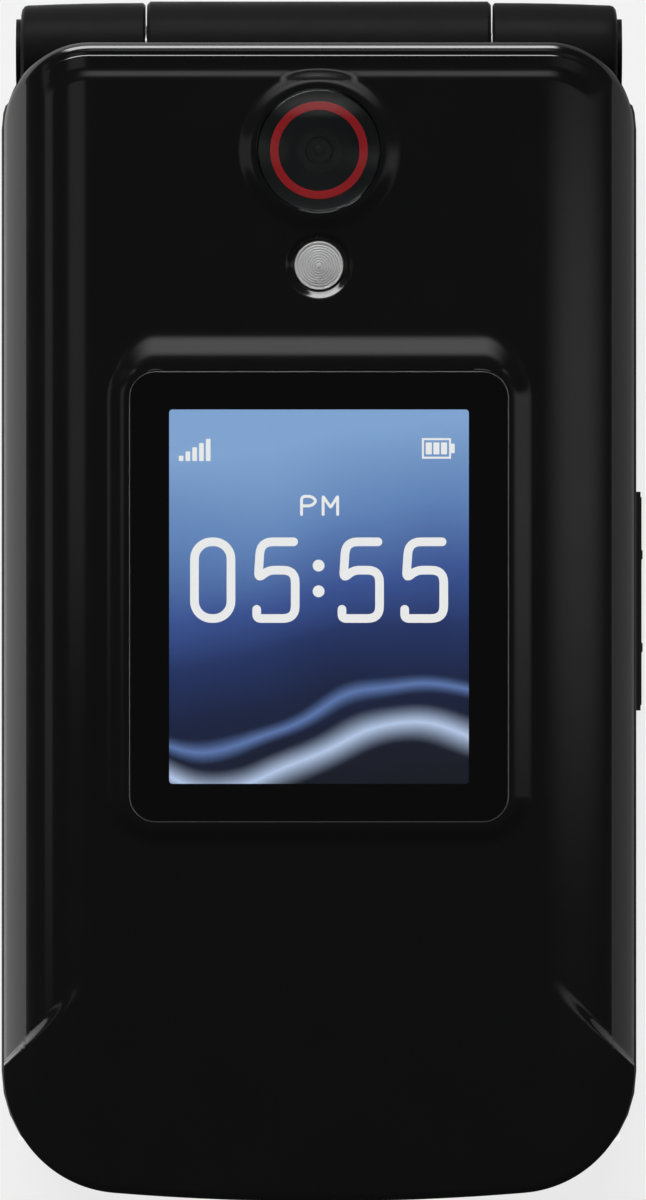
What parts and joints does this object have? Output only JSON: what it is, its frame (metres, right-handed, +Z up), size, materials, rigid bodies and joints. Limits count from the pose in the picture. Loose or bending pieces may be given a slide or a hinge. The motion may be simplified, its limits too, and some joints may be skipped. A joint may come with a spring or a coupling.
{
  "type": "flip phone",
  "caption": "Clamshell mobile phone with a gloss lid on a friction hinge, cover display, camera, keypad, side keys and removable battery cover.",
  "frame": {"origin": "middle of the rectangle round the shut phone, on the surface that it lies on", "axes": "+Y towards the hinge, +Z up through the shut lid, +X to the right seen from above the lid"},
  "size_m": [0.058, 0.108, 0.019],
  "materials": {
    "gloss_black": "high gloss",
    "soft_touch_black": "soft-touch matte",
    "key_black": "satin",
    "side_key_black": "satin",
    "dark_glass": "polished",
    "display_panel": "smooth",
    "ring_red": "satin",
    "flash_clear": "clear, ribbed",
    "circuit_board": "lacquered",
    "film": "satin",
    "lead": "satin",
    "moulded_black": "matte",
    "battery_wrap": "matte",
    "plated_steel": "plated",
    "hinge_steel": "ground",
    "tungsten": "sintered",
    "bumper_rubber": "matte"
  },
  "bodies": {
    "base": {"base_front_case": "soft_touch_black", "base_rear_case": "soft_touch_black", "battery": "battery_wrap", "battery_contacts": "moulded_black", "main_board": "circuit_board", "dome_sheet": "film", "card_socket": "plated_steel", "headset_jack": "moulded_black", "charging_port": "plated_steel", "loudspeaker": "moulded_black", "vibration_motor": "plated_steel", "main_antenna": "moulded_black", "shield_can": "plated_steel", "base_screws": "plated_steel", "hinge_caps": "soft_touch_black", "hinge_cam_shaft": "hinge_steel", "hinge_bush": "hinge_steel", "base_flex": "lead"},
    "lid": {"lid_outer_cover": "gloss_black", "lid_inner_case": "soft_touch_black", "cover_window": "dark_glass", "cover_display": "display_panel", "main_window": "dark_glass", "main_display": "display_panel", "lid_board": "circuit_board", "camera_window": "dark_glass", "camera_ring": "ring_red", "camera_module": "moulded_black", "flash_lens": "flash_clear", "earpiece": "moulded_black", "lid_bumpers": "bumper_rubber", "lid_screws": "plated_steel", "hinge_cartridge": "hinge_steel", "hinge_spring": "hinge_steel", "lid_flex": "lead"},
    "battery_cover": {"battery_cover": "soft_touch_black"},
    "vibrator_weight": {"vibrator_weight": "tungsten"},
    "ok_key": {"ok_key": "key_black", "ok_foot": "bumper_rubber"},
    "direction_ring": {"direction_ring": "key_black"},
    "direction_hub": {"direction_hub": "moulded_black"},
    "volume_rocker": {"volume_rocker": "side_key_black"},
    "side_key": {"side_key": "side_key_black"},
    "key_1": {"key_1": "key_black"},
    "key_2": {"key_2": "key_black"},
    "key_3": {"key_3": "key_black"},
    "key_4": {"key_4": "key_black"},
    "key_5": {"key_5": "key_black"},
    "key_6": {"key_6": "key_black"},
    "key_7": {"key_7": "key_black"},
    "key_8": {"key_8": "key_black"},
    "key_9": {"key_9": "key_black"},
    "key_star": {"key_star": "key_black"},
    "key_0": {"key_0": "key_black"},
    "key_hash": {"key_hash": "key_black"},
    "send_key": {"send_key": "key_black"},
    "clear_key": {"clear_key": "key_black"},
    "end_key": {"end_key": "key_black"},
    "left_soft_key": {"left_soft_key": "key_black"},
    "right_soft_key": {"right_soft_key": "key_black"}
  },
  "joints": [
    {"name": "lid_hinge", "type": "hinge", "parent": "base", "child": "lid", "pos_m": [0, 0.0493, 0.01075], "axis": [-1, 0, 0], "range_deg": [0, 160]},
    {"name": "battery_cover_release", "type": "slide", "parent": "base", "child": "battery_cover", "axis": [0, 0, -1], "range_m": [0, 0.02]},
    {"name": "vibrator_spin", "type": "hinge", "parent": "base", "child": "vibrator_weight", "pos_m": [0.019, 0.027, 0.00505], "axis": [0, 1, 0], "continuous": true},
    {"name": "key_1_press", "type": "slide", "parent": "base", "child": "key_1", "axis": [0, 0, -1], "range_m": [0, 0.0003], "stiffness_N_per_m": 2500},
    {"name": "key_2_press", "type": "slide", "parent": "base", "child": "key_2", "axis": [0, 0, -1], "range_m": [0, 0.0003], "stiffness_N_per_m": 2500},
    {"name": "key_3_press", "type": "slide", "parent": "base", "child": "key_3", "axis": [0, 0, -1], "range_m": [0, 0.0003], "stiffness_N_per_m": 2500},
    {"name": "key_4_press", "type": "slide", "parent": "base", "child": "key_4", "axis": [0, 0, -1], "range_m": [0, 0.0003], "stiffness_N_per_m": 2500},
    {"name": "key_5_press", "type": "slide", "parent": "base", "child": "key_5", "axis": [0, 0, -1], "range_m": [0, 0.0003], "stiffness_N_per_m": 2500},
    {"name": "key_6_press", "type": "slide", "parent": "base", "child": "key_6", "axis": [0, 0, -1], "range_m": [0, 0.0003], "stiffness_N_per_m": 2500},
    {"name": "key_7_press", "type": "slide", "parent": "base", "child": "key_7", "axis": [0, 0, -1], "range_m": [0, 0.0003], "stiffness_N_per_m": 2500},
    {"name": "key_8_press", "type": "slide", "parent": "base", "child": "key_8", "axis": [0, 0, -1], "range_m": [0, 0.0003], "stiffness_N_per_m": 2500},
    {"name": "key_9_press", "type": "slide", "parent": "base", "child": "key_9", "axis": [0, 0, -1], "range_m": [0, 0.0003], "stiffness_N_per_m": 2500},
    {"name": "key_star_press", "type": "slide", "parent": "base", "child": "key_star", "axis": [0, 0, -1], "range_m": [0, 0.0003], "stiffness_N_per_m": 2500},
    {"name": "key_0_press", "type": "slide", "parent": "base", "child": "key_0", "axis": [0, 0, -1], "range_m": [0, 0.0003], "stiffness_N_per_m": 2500},
    {"name": "key_hash_press", "type": "slide", "parent": "base", "child": "key_hash", "axis": [0, 0, -1], "range_m": [0, 0.0003], "stiffness_N_per_m": 2500},
    {"name": "send_key_press", "type": "slide", "parent": "base", "child": "send_key", "axis": [0, 0, -1], "range_m": [0, 0.0003], "stiffness_N_per_m": 2500},
    {"name": "clear_key_press", "type": "slide", "parent": "base", "child": "clear_key", "axis": [0, 0, -1], "range_m": [0, 0.0003], "stiffness_N_per_m": 2500},
    {"name": "end_key_press", "type": "slide", "parent": "base", "child": "end_key", "axis": [0, 0, -1], "range_m": [0, 0.0003], "stiffness_N_per_m": 2500},
    {"name": "left_soft_key_press", "type": "slide", "parent": "base", "child": "left_soft_key", "axis": [0, 0, -1], "range_m": [0, 0.0003], "stiffness_N_per_m": 2500},
    {"name": "right_soft_key_press", "type": "slide", "parent": "base", "child": "right_soft_key", "axis": [0, 0, -1], "range_m": [0, 0.0003], "stiffness_N_per_m": 2500},
    {"name": "ok_key_press", "type": "slide", "parent": "base", "child": "ok_key", "axis": [0, 0, -1], "range_m": [0, 0.0003], "stiffness_N_per_m": 2500},
    {"name": "side_key_press", "type": "slide", "parent": "base", "child": "side_key", "axis": [1, 0, 0], "range_m": [0, 0.0003], "stiffness_N_per_m": 2500},
    {"name": "direction_rock_up_down", "type": "hinge", "parent": "base", "child": "direction_hub", "pos_m": [0, 0.027, 0.00835], "axis": [1, 0, 0], "range_deg": [-1.5, 1.5], "stiffness_Nm_per_rad": 0.8},
    {"name": "direction_rock_left_right", "type": "hinge", "parent": "direction_hub", "child": "direction_ring", "pos_m": [0, 0.027, 0.0088], "axis": [0, 1, 0], "range_deg": [-1.5, 1.5], "stiffness_Nm_per_rad": 0.8},
    {"name": "volume_rock", "type": "hinge", "parent": "base", "child": "volume_rocker", "pos_m": [0.0272, -0.0001, 0.00475], "axis": [0, 0, 1], "range_deg": [-1, 1], "stiffness_Nm_per_rad": 0.8}
  ]
}
